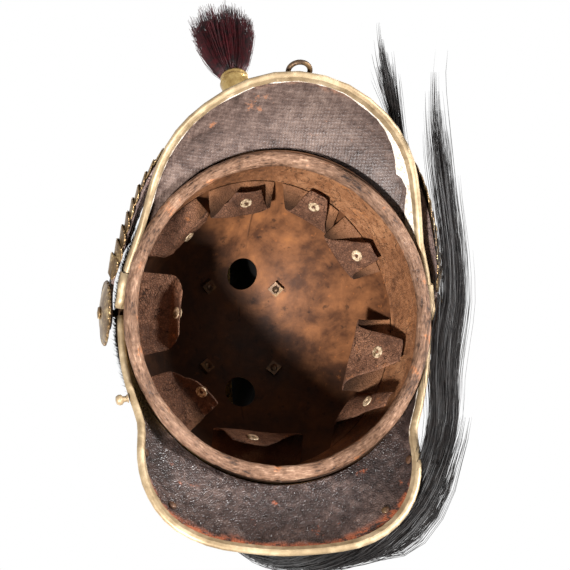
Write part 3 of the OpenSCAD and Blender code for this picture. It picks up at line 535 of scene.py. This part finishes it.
# Sweatband: brown leather rolled into a tube and sewn along the skull's edge, cracked with age.
# A ring drawn out to the head's oval, then made uneven, with its joint and deepest cracks at the back.
# The leather is streaked along the tube.
roll_radius, roll_height, roll_half, roll_long, roll_left = 0.0049, 0.0455, 0.1, 1.053, 0.0017
nothing_selected()
bpy.ops.mesh.primitive_torus_add(major_segments=480, minor_segments=28, major_radius=roll_half,
                                 minor_radius=roll_radius, location=(0, 0, roll_height))
roll = named("sweatband_roll")
roll_cracks = [(math.radians(degrees), depth) for degrees, depth in (
    (90, 0.16), (96, 0.05), (82, 0.05), (113, 0.06), (193, 0.09), (201, 0.08), (208, 0.05), (150, 0.05),
    (262, 0.04), (300, 0.05), (338, 0.04), (20, 0.05), (46, 0.05), (68, 0.06))]
for vertex in roll.data.vertices:
    angle = math.atan2(vertex.co.y, vertex.co.x)
    centre = Vector((roll_half * math.cos(angle), roll_half * math.sin(angle), roll_height))
    arm = vertex.co - centre
    lump = noise.noise(vertex.co * 40) * 0.13 + noise.noise(vertex.co * 150) * 0.06
    for place, depth in roll_cracks:
        apart = (angle - place + math.pi) % math.tau - math.pi + arm.z * 6 * depth
        lump -= depth * math.exp(-(apart / 0.012) ** 2)
    vertex.co = centre + arm * (0.97 + lump)
    vertex.co.x -= roll_left
    vertex.co.y *= roll_long
smoothed(roll, 80)
rolled = Finish("rolled_leather", {"Specular IOR Level": 0.25})
across, lengthways = (rolled.along(axis, rolled.place((1, 1 / roll_long, 1))) for axis in range(2))
streak = rolled.node("ShaderNodeTexNoise", {"noise_dimensions": "4D"}, {
    "Vector": rolled.place((0.22, 0.22, 1)), "W": (across * across + lengthways * lengthways).root(),
    "Scale": 720, "Detail": 6, "Roughness": 0.68})
patch, fine = rolled.grain(30, 6, 0.62, warp=0.4), rolled.grain(300, 4, 0.6)
colour = rolled.ramp(streak * 0.46 + patch * 0.36 + fine * 0.18, (0.4, tone(40, 26, 19)),
                     (0.46, tone(98, 70, 52)), (0.54, tone(134, 102, 81)), (0.63, tone(186, 152, 126)))
rubbed = rolled.grain(64, 5, 0.66).band(0.58, 0.68) * streak.band(0.4, 0.6)
rolled.feed("Base Color", rolled.mix(rubbed * 0.75, colour, tone(186, 112, 62)))
rolled.feed("Roughness", 0.46 + (fine - 0.5) * 0.4)
rolled.feed("Normal", rolled.relief(streak + patch * 0.6 + fine * 0.4, 0.0016))
dressed(roll, rolled, "helmet", "sweatband_roll")


# Visor and neck guard: thick black-brown leather stitched under the skull's edge, swelling out to a brass
# binding. Each is a grid from its root to its bound edge, as the solids are, thickened and softened.
visor_edge = ((106.5, -2, 60.5), (104.8, -18, 57.5), (101.5, -33, 53), (96, -52, 47), (92.5, -72, 39.5),
              (87, -95, 29.5), (77, -115, 20), (60.5, -132, 10.5), (33, -148.5, 3.4), (0, -155, 1.9))
guard_edge = ((106.5, 3, 60.5), (105.2, 20, 57.5), (102.5, 38, 52), (97.5, 58, 43), (92.5, 74, 36),
              (92.5, 86, 29), (93, 98, 23), (90, 114, 16.4), (82, 130, 10.4), (68.5, 143, 6.3),
              (49.5, 151.5, 3.4), (27, 155.5, 2.3), (0, 157.5, 1.9))
leather_thick, leather_swell = 0.0025, 0.0035


def guard_rows(edge, steps, count, shift=0):
    points = [millimetres(-x, y, z) for x, y, z in edge] + [millimetres(*point) for point in edge[-2::-1]]
    rows = []
    for p in curve_through(points, steps):
        p.x -= p.y * shift
        angle = math.atan2(p.y / skull_long, p.x)
        reach = skull_half + skull_wall + 0.0016 + 0.0012 * math.cos(angle) ** 6
        q = Vector((reach * math.cos(angle), reach * skull_long * math.sin(angle),
                    0.049 + 0.012 * math.cos(angle) ** 2))
        outward = Vector((p.x, p.y, 0)).normalized() + Vector((0, 0, 1))
        rows.append([blended(q, p, j / count) + outward * leather_swell * 4 * j / count * (1 - j / count)
                     * min(1, (p - q).length / 0.05) for j in range(count + 1)])
    return rows


def guard_leather(name, rows, finish, node):
    piece = laid_grid(name, rows)
    for vertex in piece.data.vertices:
        vertex.co.z += noise.noise(vertex.co * 32) * 0.0006
    changed(piece, "SOLIDIFY", thickness=leather_thick, offset=0)
    smoothed(piece, 50)
    return dressed(piece, finish, "helmet", node)


def guard_finish(name, dark, middle, light, rust, weave, rough, thread, inner_edge):
    """Guard leather: pressed or worn grain, scuffs, and bare red-brown hide towards the bound edge."""
    made = Finish(name, {"Specular IOR Level": 0.5})
    wear = made.grain(22, 8, 0.68, warp=0.6)
    fine = made.grain(190, 6, 0.66)
    pores = made.pores(weave, 0.2)
    weft, warp = (made.node("ShaderNodeTexWave", {"bands_direction": way}, {
        "Vector": made.place(), "Scale": 150.0, "Distortion": 1.2, "Detail": 2.0, "Detail Scale": 2.0})
        for way in ("X", "Y"))
    cloth = (weft + warp) * 0.5 * thread + pores * (1 - thread)
    edge = made.along(1, made.unrolled())
    colour = made.ramp(wear * 0.55 + fine * 0.45, (0.36, dark), (0.5, middle), (0.64, light))
    bare = (edge + (wear - 0.5) * 0.5).band(inner_edge - 0.04, inner_edge + 0.1) * fine.band(0.38, 0.54)
    scuff = made.grain(60, 5, 0.7).band(0.62, 0.68) * fine.band(0.45, 0.6)
    colour = made.mix((1 - cloth) * 0.45, colour, dark)
    colour = made.mix(bare * 0.85, colour, rust)
    made.feed("Base Color", made.mix(scuff * 0.8, colour, rust))
    made.feed("Roughness", rough + (fine - 0.5) * 0.4 + bare * 0.25)
    made.feed("Normal", made.relief(cloth, 0.00025, made.relief(wear + fine * 0.6, 0.0011)))
    return made


visor_rows = guard_rows(visor_edge, 8, 14)
neck_rows = guard_rows(guard_edge, 8, 14, 0.04)
grey_hide = guard_finish("visor_hide", tone(42, 31, 27), tone(88, 71, 64), tone(128, 108, 98),
                         tone(150, 98, 66), 620, 0.44, 0.7, 0.9)
black_hide = guard_finish("neck_guard_hide", tone(26, 19, 18), tone(62, 48, 44), tone(112, 92, 84),
                          tone(172, 88, 48), 520, 0.3, 0.1, 0.83)
guard_leather("visor", visor_rows, grey_hide, "visor_leather")
guard_leather("neck_guard", neck_rows, black_hide, "neck_guard_leather")


# Bindings: strips of pale brass folded round the leather's edges and pinched tight, a little dented.
# With them come the covers of the visor's two ends and the neck guard's rivets.
# Noise that moves points three ways starts from the clock unless it is seeded, so the dents get a seed.
noise.seed_set(7)


def dented(piece, depth, size):
    for vertex in piece.data.vertices:
        vertex.co += noise.noise_vector(vertex.co * size) * depth
    return piece


pale_brass = brass_finish("pale_brass", tone(160, 138, 106), tone(192, 170, 138), 0.5, 1.0, 26, 0.4)
for part in ("visor_rim", "neck_guard_rim", "side_edging_left", "side_edging_right"):
    dressed(dented(copied(part, 42), 0.0003, 40), pale_brass, "helmet", part)
brown_lacquer = brass_finish("brown_lacquer", tone(74, 50, 38), tone(128, 96, 74), 0.35, 0.4, 90, 0.4)
dressed(copied("neck_guard_rivets"), brown_lacquer, "helmet", "neck_guard_rivets")


# Polish crust: pale old polish dried along the bindings' inner edges, widest near the wearer's left ear.
# A low uneven bead follows each binding and lies against the leather's underside.
binding_cover, crust_sink, crust_half_height = 0.0032, 0.0004, 0.0007


def along_row(row, far):
    """The point so far along the row, and the way the row runs there."""
    for first, second in zip(row, row[1:]):
        step = (second - first).length
        if far <= step or second is row[-1]:
            return blended(first, second, min(1, far / step)), (second - first).normalized()
        far -= step


def faced_outward(piece):
    edited(piece)
    bpy.ops.mesh.normals_make_consistent(inside=False)
    bpy.ops.object.mode_set(mode="OBJECT")
    return piece


def crust(name, rows, wide, seed):
    rings = []
    for i in range(2, len(rows) - 2):
        row = rows[i][::-1]
        edge, ring = row[0], []
        along = (rows[i + 1][-1] - rows[i - 1][-1]).normalized()
        room = sum((second - first).length for first, second in zip(row, row[1:]))
        heap = 0.85 + 0.6 * noise.noise(edge * 60 + Vector((seed, 0, 0))) + 0.25 * noise.noise(edge * 200)
        reach = min(binding_cover, room * 0.4)
        half = max(0.0001, min(wide(edge) * max(0.12, heap), (room - reach - 0.001) / 2))
        for turn in (math.tau * k / 12 for k in range(13)):
            spot, inward = along_row(row, reach + half * (1 + math.cos(turn)))
            under = along.cross(inward).normalized()
            under = under if under.z < 0 else -under
            ring.append(spot + under * (leather_thick / 2 + crust_sink + crust_half_height * math.sin(turn)))
        rings.append(ring)
    piece = laid_grid(name, rings)
    for vertex in piece.data.vertices:
        vertex.co += noise.noise_vector(vertex.co * 380) * 0.0002
    edited(piece)
    bpy.ops.mesh.remove_doubles(threshold=0.00005)
    return smoothed(faced_outward(piece), 60)


wax = Finish("pale_crust", {"Roughness": 0.9, "Specular IOR Level": 0.2})
crumb = wax.grain(420, 5, 0.65)
wax.feed("Base Color", wax.ramp(crumb, (0.3, tone(168, 138, 112)), (0.46, tone(214, 200, 184)),
                                (0.6, tone(236, 228, 216))))
wax.feed("Normal", wax.relief(crumb, 0.0005))
dressed(crust("visor_crust", visor_rows, lambda p: 0.0013 + 0.0017 * min(1, abs(p.x) / 0.09)
              + 0.003 * max(0, min(1, (p.x - 0.065) / 0.02)), 3), wax, "helmet")
dressed(crust("neck_crust", neck_rows, lambda p: 0.00012 + 0.0013 * max(0, min(1, (p.x - 0.07) / 0.02)), 8),
        wax, "helmet")

# Crest: pressed brass sides fluted like a shell, closed by a ribbed front plate, topped by a beaded strip
# and held by a flange with four bolts and square nuts. The tuft's cup and the mane's collar stand on it.
crest_brass = brass_finish("crest_brass", tone(166, 136, 84), tone(200, 172, 114), 0.28, 0.8, 34)
dark_brass = brass_finish("dark_brass", tone(58, 42, 30), tone(98, 76, 54), 0.5, 0.3, 160, 0.7)
dark_inside_brass = Finish("crest_brass_with_dark_inside", {})
cloud = dark_inside_brass.grain(34, 7, 0.62, warp=0.5)
# The sides' faces towards the crest's hollow are coloured near black, duller and less metallic.
hidden = (dark_inside_brass.along(0, dark_inside_brass.node("ShaderNodeTexCoord", output=1)) * dark_inside_brass.along(0)).band(0.0, -0.001)
golden = dark_inside_brass.ramp(cloud, (0.4, tone(110, 86, 54)), (0.5, tone(166, 136, 84)), (0.62, tone(200, 172, 114)))
dark_inside_brass.feed("Base Color", dark_inside_brass.mix(hidden, golden, tone(16, 11, 8)))
dark_inside_brass.feed("Metallic", 0.9 - hidden * 0.8)
dark_inside_brass.feed("Roughness", 0.32 + hidden * 0.4 + (0.5 - cloud) * 0.3)
dark_inside_brass.feed("Normal", dark_inside_brass.relief(cloud, 0.0002))
for part in ("crest_left_side", "crest_right_side", "crest_front_plate", "crest_top_strip", "crest_flange",
             "tuft_cup", "mane_collar"):
    dressed(copied(part, 45), dark_inside_brass if part.endswith("side") else crest_brass, "helmet", part)
dressed(copied("crest_bolts"), dark_brass, "helmet", "crest_bolts")
dressed(copied("crest_nuts"), dark_brass, "helmet", "crest_nuts")
dressed(copied("tuft_collar"), crest_brass, "tuft", "tuft_collar")

# Fittings: a brass plume socket on the wearer's left, whose stud ends in the skull's wall, and a stud on the
# neck guard's binding at the right, on which the straps' hook hangs when they are put up.
# The rosettes, stamped from brass, hold the straps by their screws.
scale_brass = brass_finish("scale_brass", tone(112, 88, 58), tone(186, 160, 114), 0.36, 0.7, 90, 0.75)
for part in ("plume_socket", "hook_stud", "rosette_left", "rosette_right", "rosette_screws"):
    dressed(copied(part, 38), scale_brass if part.startswith("rosette") else pale_brass, "helmet", part)

# Chin straps: leather straps that carry overlapping crescent scales of brass, smaller towards the ring.
# The two are hooked together in front of the visor, and their upper edges lean in over it.
strap_middle, strap_fall, strap_reach = 0.0745, 0.27, 0.148
lean_starts, lean_most, right_in, left_in = 0.017, 0.0095, 0.0045, 0.0015
grey_strap = leather_finish("grey_strap", tone(66, 52, 48), tone(112, 92, 86), tone(146, 124, 114),
                            tone(176, 96, 50), 500, 0.5, 0.4)


def drawn_in(piece, part):
    """Tips the strap's upper edge in over the visor, as far as the turban leaves room for it."""
    for vertex in piece.data.vertices:
        ahead = max(0.0, -vertex.co.y)
        room = 0.0058 * (max(0.0, ahead - lean_starts) / 0.023) ** 1.2
        room *= min(1, max(0, (strap_reach - ahead) / 0.04))
        height = (vertex.co.z - (strap_middle - strap_fall * ahead - 0.008)) / 0.018
        low = min(right_in if "right" in part else left_in, room)
        step = low + (min(lean_most, room) - low) * max(0, min(1.25, height)) if room > low else low
        vertex.co -= Vector((vertex.co.x, vertex.co.y * 0.7, 0)).normalized() * step
    return piece


for place in ("left_rear", "left_front", "right_rear", "right_front"):
    part = "chin_strap_" + place
    strap = drawn_in(copied(part, 50), part)
    changed(strap, "BEVEL", width=0.0004, segments=2, limit_method="ANGLE")
    dressed(smoothed(strap, 50), grey_strap, "chin_straps", part)
for place in ("left_rear", "left_front", "right_rear", "right_front"):
    part = "chin_scales_" + place
    dressed(drawn_in(copied(part, 40), part), scale_brass, "chin_straps", part)
for part in ("joining_ring", "joining_hook"):
    dressed(copied(part, 60), dark_brass, "chin_straps", part)


# Mane: a fringe of long black horsehair, bound in the crest's collar, that falls behind the neck guard and
# lies forward at the wearer's left. One thin lock runs forward over the skull's left side.
# The hairs are laid one by one along each lock's route and end at different lengths.
hair_lowest = 0.0012


def strands(name, points, faces):
    piece = bpy.data.objects.new(name, bpy.data.meshes.new(name))
    piece.data.from_pydata(points, [], faces)
    bpy.context.scene.collection.objects.link(piece)
    return piece


def hair_faces(first, ends):
    """The sides and two ends of a three-sided hair whose points begin at first."""
    sides = []
    for i in range(ends):
        for corner in range(3):
            a, b = first + i * 3 + corner, first + i * 3 + (corner + 1) % 3
            sides.append((a, b, b + 3, a + 3))
    last = first + ends * 3
    return sides + [(first + 2, first + 1, first), (last, last + 1, last + 2)]


def hair_bundle(name, route, count, seed, thick, stray, tail, clumps, steps=2):
    """Hairs laid along a route of points, each with the bundle's half width and half height there."""
    chance = random.Random(seed)
    line = curve_through([millimetres(*stop[:3]) for stop in route], steps)
    size = curve_through([millimetres(stop[3], stop[4], 0) for stop in route], steps)
    frames = []
    for i, point in enumerate(line):
        along = (line[min(i + 1, len(line) - 1)] - line[max(i - 1, 0)]).normalized()
        side = Vector((1, 0, 0))
        side = (side - along * side.dot(along)).normalized()
        frames.append((point, side, side.cross(along), size[i].x, size[i].y))
    points, faces = [], []
    locks = [(chance.gauss(0, 0.75), chance.gauss(0, 0.75), chance.uniform(0.93, 1))
             for lock in range(clumps)]
    for hair in range(count):
        turn, out = chance.uniform(0, math.tau), chance.random() ** 0.6
        across, up = out * math.cos(turn), out * math.sin(turn)
        lean, lift, reach = chance.choice(locks)
        ends = max(3, round((len(frames) - 1) * reach * (1 - tail * chance.random() ** 0.4)))
        drift = Vector((chance.gauss(0, 1), chance.gauss(0, 1), 0)) * stray * chance.random() ** 2
        wave, beat = chance.uniform(0, math.tau), chance.uniform(0.24, 0.6)
        width = thick * chance.uniform(0.7, 1.3)
        first = len(points)
        for i in range(ends + 1):
            point, side, over, half, high = frames[i]
            free = i / (len(frames) - 1)
            gather = min(1, free * 1.25) ** 2 * 0.7
            a = blended(across, lean, gather) + math.sin(wave + beat * i) * 0.16 + drift.x * free
            b = blended(up, lift, gather) + math.cos(wave * 2 + beat * i) * 0.16 + drift.y * free
            spot = point + side * half * a + over * high * b
            spot.z = max(spot.z, hair_lowest)
            girth = width * (1 if i < ends else 0.2)
            for corner in range(3):
                bend = math.tau * corner / 3 + wave
                points.append(spot + (side * math.cos(bend) + over * math.sin(bend)) * girth)
        faces += hair_faces(first, ends)
    return smoothed(faced_outward(strands(name, points, faces)), 80)


def hair_finish(name, root, tip, rough):
    made = Finish(name, {"Roughness": rough, "Specular IOR Level": 0.35})
    shade = made.grain(260, 3, 0.6, (1, 1, 0.3))
    made.feed("Base Color", made.ramp(shade, (0.35, root), (0.65, tip)))
    return made


black_hair = hair_finish("black_horsehair", tone(8, 6, 6), tone(27, 22, 20), 0.5)
rear_fall = ((0, 90, 226.5, 5, 5), (0, 96, 235, 6, 6), (3, 119, 238, 9, 8), (8, 138, 222, 12, 9),
             (14, 151, 186, 15, 10), (22, 158, 140, 17, 10), (34, 160, 94, 18, 9), (50, 154, 61, 18, 8),
             (70, 142, 43, 15, 7), (90, 122, 35.5, 11, 6), (100, 94, 26, 9, 6), (102, 67, 9.5, 9, 5.5),
             (101, 42, 7.5, 8, 5.5))
side_lock = ((90, 122, 35.5, 9, 5), (100, 94, 26, 9, 6), (102, 67, 9.5, 9, 5.5),
             (101, 42, 7.5, 8.5, 5.5), (103, 16, 6.5, 8, 5), (106.5, -10, 6, 7, 4.5),
             (105.5, -42, 6, 6, 4.2), (101, -75, 5.5, 5.4, 4), (96.5, -108, 5, 5, 3.6),
             (93.5, -136, 4.4, 4.2, 3), (92.5, -162, 3.6, 3.6, 2), (94.5, -190, 3, 4, 0.8))
front_lock = ((11, 94, 228, 2, 2), (25, 85, 218, 3, 2), (44, 70, 204, 4, 2), (68, 40, 182, 5, 2),
              (88, 4, 152, 5, 2), (98, -30, 122, 5, 2), (98, -64, 94, 4.5, 2), (90, -98, 68, 3.5, 1.6),
              (79, -123, 44, 2.8, 1.5), (70, -138, 24, 3, 1.8), (63, -151, 12, 3.6, 2.4),
              (58, -165, 7, 4, 2.6), (54.5, -182, 5, 4, 1.8), (52.5, -202, 4, 4, 0.8))
dressed(hair_bundle("mane_rear_inner", rear_fall, 1550, 11, 0.00018, 0.4, 0.2, 40), black_hair, "helmet",
        "mane_rear_fall")
dressed(hair_bundle("mane_rear_outer", rear_fall, 1550, 14, 0.00018, 0.5, 0.2, 40), black_hair, "helmet")
dressed(hair_bundle("mane_side", side_lock, 2150, 12, 0.00013, 1.4, 0.6, 60), black_hair, "helmet",
        "mane_side_lock")
dressed(hair_bundle("mane_front", front_lock, 640, 13, 0.00013, 1.4, 0.23, 26), black_hair, "helmet",
        "mane_front_lock")

# Tuft: short stiff horsehair dyed dark red, bound in a brass collar that stands in the crest's front cup.
# Its bristles start inside the collar and spread out like a brush.
tuft_foot, tuft_way = millimetres(0, -173.0, 212.1), Vector((-0.06, -0.84549, 0.53399)).normalized()
tuft_start, tuft_long, tuft_narrow, tuft_wide, bristle_thick = 0.0298, 0.066, 0.0085, 0.024, 0.00024
red_hair = hair_finish("red_horsehair", tone(16, 7, 8), tone(70, 14, 20), 0.55)
chance = random.Random(21)
points, faces = [], []
sideways, over = Vector((1, 0, 0)), Vector((1, 0, 0)).cross(tuft_way)
for bristle in range(2400):
    turn, out = chance.uniform(0, math.tau), math.sqrt(chance.random())
    spread = Vector((math.cos(turn), math.sin(turn), 0)) * out
    clump = noise.noise(Vector((spread.x * 3, spread.y * 3, 4)))
    long = tuft_long * (0.98 - 0.2 * out * out + 0.22 * clump) * chance.uniform(0.72, 1.03)
    bow = chance.uniform(-0.002, 0.002)
    first = len(points)
    for i in range(5):
        free = i / 4
        radius = blended(tuft_narrow, tuft_wide, free ** 0.8) * (1 + 0.12 * clump * free)
        spot = tuft_foot + tuft_way * (tuft_start + long * free) + (
            sideways * (spread.x * radius + bow * math.sin(math.pi * free)) + over * spread.y * radius)
        for corner in range(3):
            bend = math.tau * corner / 3 + turn
            points.append(spot + (sideways * math.cos(bend) + over * math.sin(bend))
                          * bristle_thick * (1 - 0.45 * free))
    faces += hair_faces(first, 4)
tuft = faced_outward(strands("tuft", points, faces))
dressed(smoothed(tuft, 80), red_hair, "tuft", "tuft_hair")

# Turban: a band of short brown fur over a leather backing, round the skull above the visor.
# The backing is a ring cut from the skull's shape, arched over the side arms, and covered with short hairs.
turban_low, turban_rise, turban_high, turban_thick = 0.052, 0.014, 0.112, 0.0064
fur_foot, fur_count = 0.0041, 15000
arch = ((skull_half + skull_wall) * skull_long) ** 2 / (2 * turban_rise) + turban_rise / 2
backing = skull_ball("turban", turban_thick - 0.0022, 160)
cut_flat(backing, turban_low, True)
cut_flat(backing, turban_high, False)
for vertex in backing.data.vertices:
    lowest = turban_low + turban_rise - arch + math.sqrt(arch ** 2 - vertex.co.y ** 2)
    lowest = max(lowest, turban_low)
    vertex.co.z = lowest + (vertex.co.z - turban_low) / (turban_high - turban_low) * (turban_high - lowest)
changed(backing, "SOLIDIFY", thickness=turban_thick - 0.0026, offset=-1)
smoothed(backing, 50)
chance = random.Random(5)
points, faces = [], []
for hair in range(fur_count):
    angle, rise = chance.uniform(0, math.tau), chance.random()
    half = skull_half + skull_wall + fur_foot
    y = half * skull_long * math.sin(angle)
    lowest = max(turban_low, turban_low + turban_rise - arch + math.sqrt(arch ** 2 - y ** 2))
    z = lowest + 0.001 + rise * (turban_high - lowest - 0.002)
    shrink = math.sqrt(max(0, 1 - ((z - belt) / (crown - belt + skull_wall + fur_foot)) ** 2))
    foot = Vector((half * shrink * math.cos(angle), half * skull_long * shrink * math.sin(angle), z))
    outward = Vector((foot.x, foot.y / skull_long ** 2, (foot.z - belt) * 0.55)).normalized()
    comb = (Vector((-outward.y, outward.x, 0)) * (0.35 + 0.5 * noise.noise(foot * 40))
            + Vector((0, 0, -0.55)))
    comb = (comb - outward * comb.dot(outward)).normalized()
    comb += Vector((chance.gauss(0, 0.15), chance.gauss(0, 0.15), chance.gauss(0, 0.15)))
    long = chance.uniform(0.006, 0.010)
    side = comb.cross(outward).normalized() * 0.0002
    middle = foot + comb * long * 0.5 + outward * 0.0016
    tip = foot + comb * long + outward * 0.0018
    middle.z, tip.z = max(middle.z, lowest + 0.0006), max(tip.z, lowest + 0.0004)
    first = len(points)
    points += [foot - side, foot + side, middle + side * 0.7, middle - side * 0.7, tip]
    faces += [(first, first + 1, first + 2, first + 3), (first + 3, first + 2, first + 4)]
fur = strands("turban_fur", points, faces)
pelt = Finish("brown_fur", {"Roughness": 0.95, "Specular IOR Level": 0.02})
patches = pelt.grain(26, 5, 0.6, warp=0.8)
hairs = pelt.grain(900, 2, 0.5, (1, 1, 0.25))
pelt.feed("Base Color", pelt.ramp(patches * 0.7 + hairs * 0.3, (0.36, tone(26, 18, 13)),
                                  (0.5, tone(58, 40, 27)), (0.62, tone(92, 66, 43))))
pelt.feed("Normal", pelt.relief(hairs, 0.0005))
dressed(fur, pelt, "helmet")
dressed(backing, pelt, "helmet", "fur_turban")

# The view transform is Standard, so colours show as they are written.
bpy.context.scene.view_settings.view_transform = "Standard"
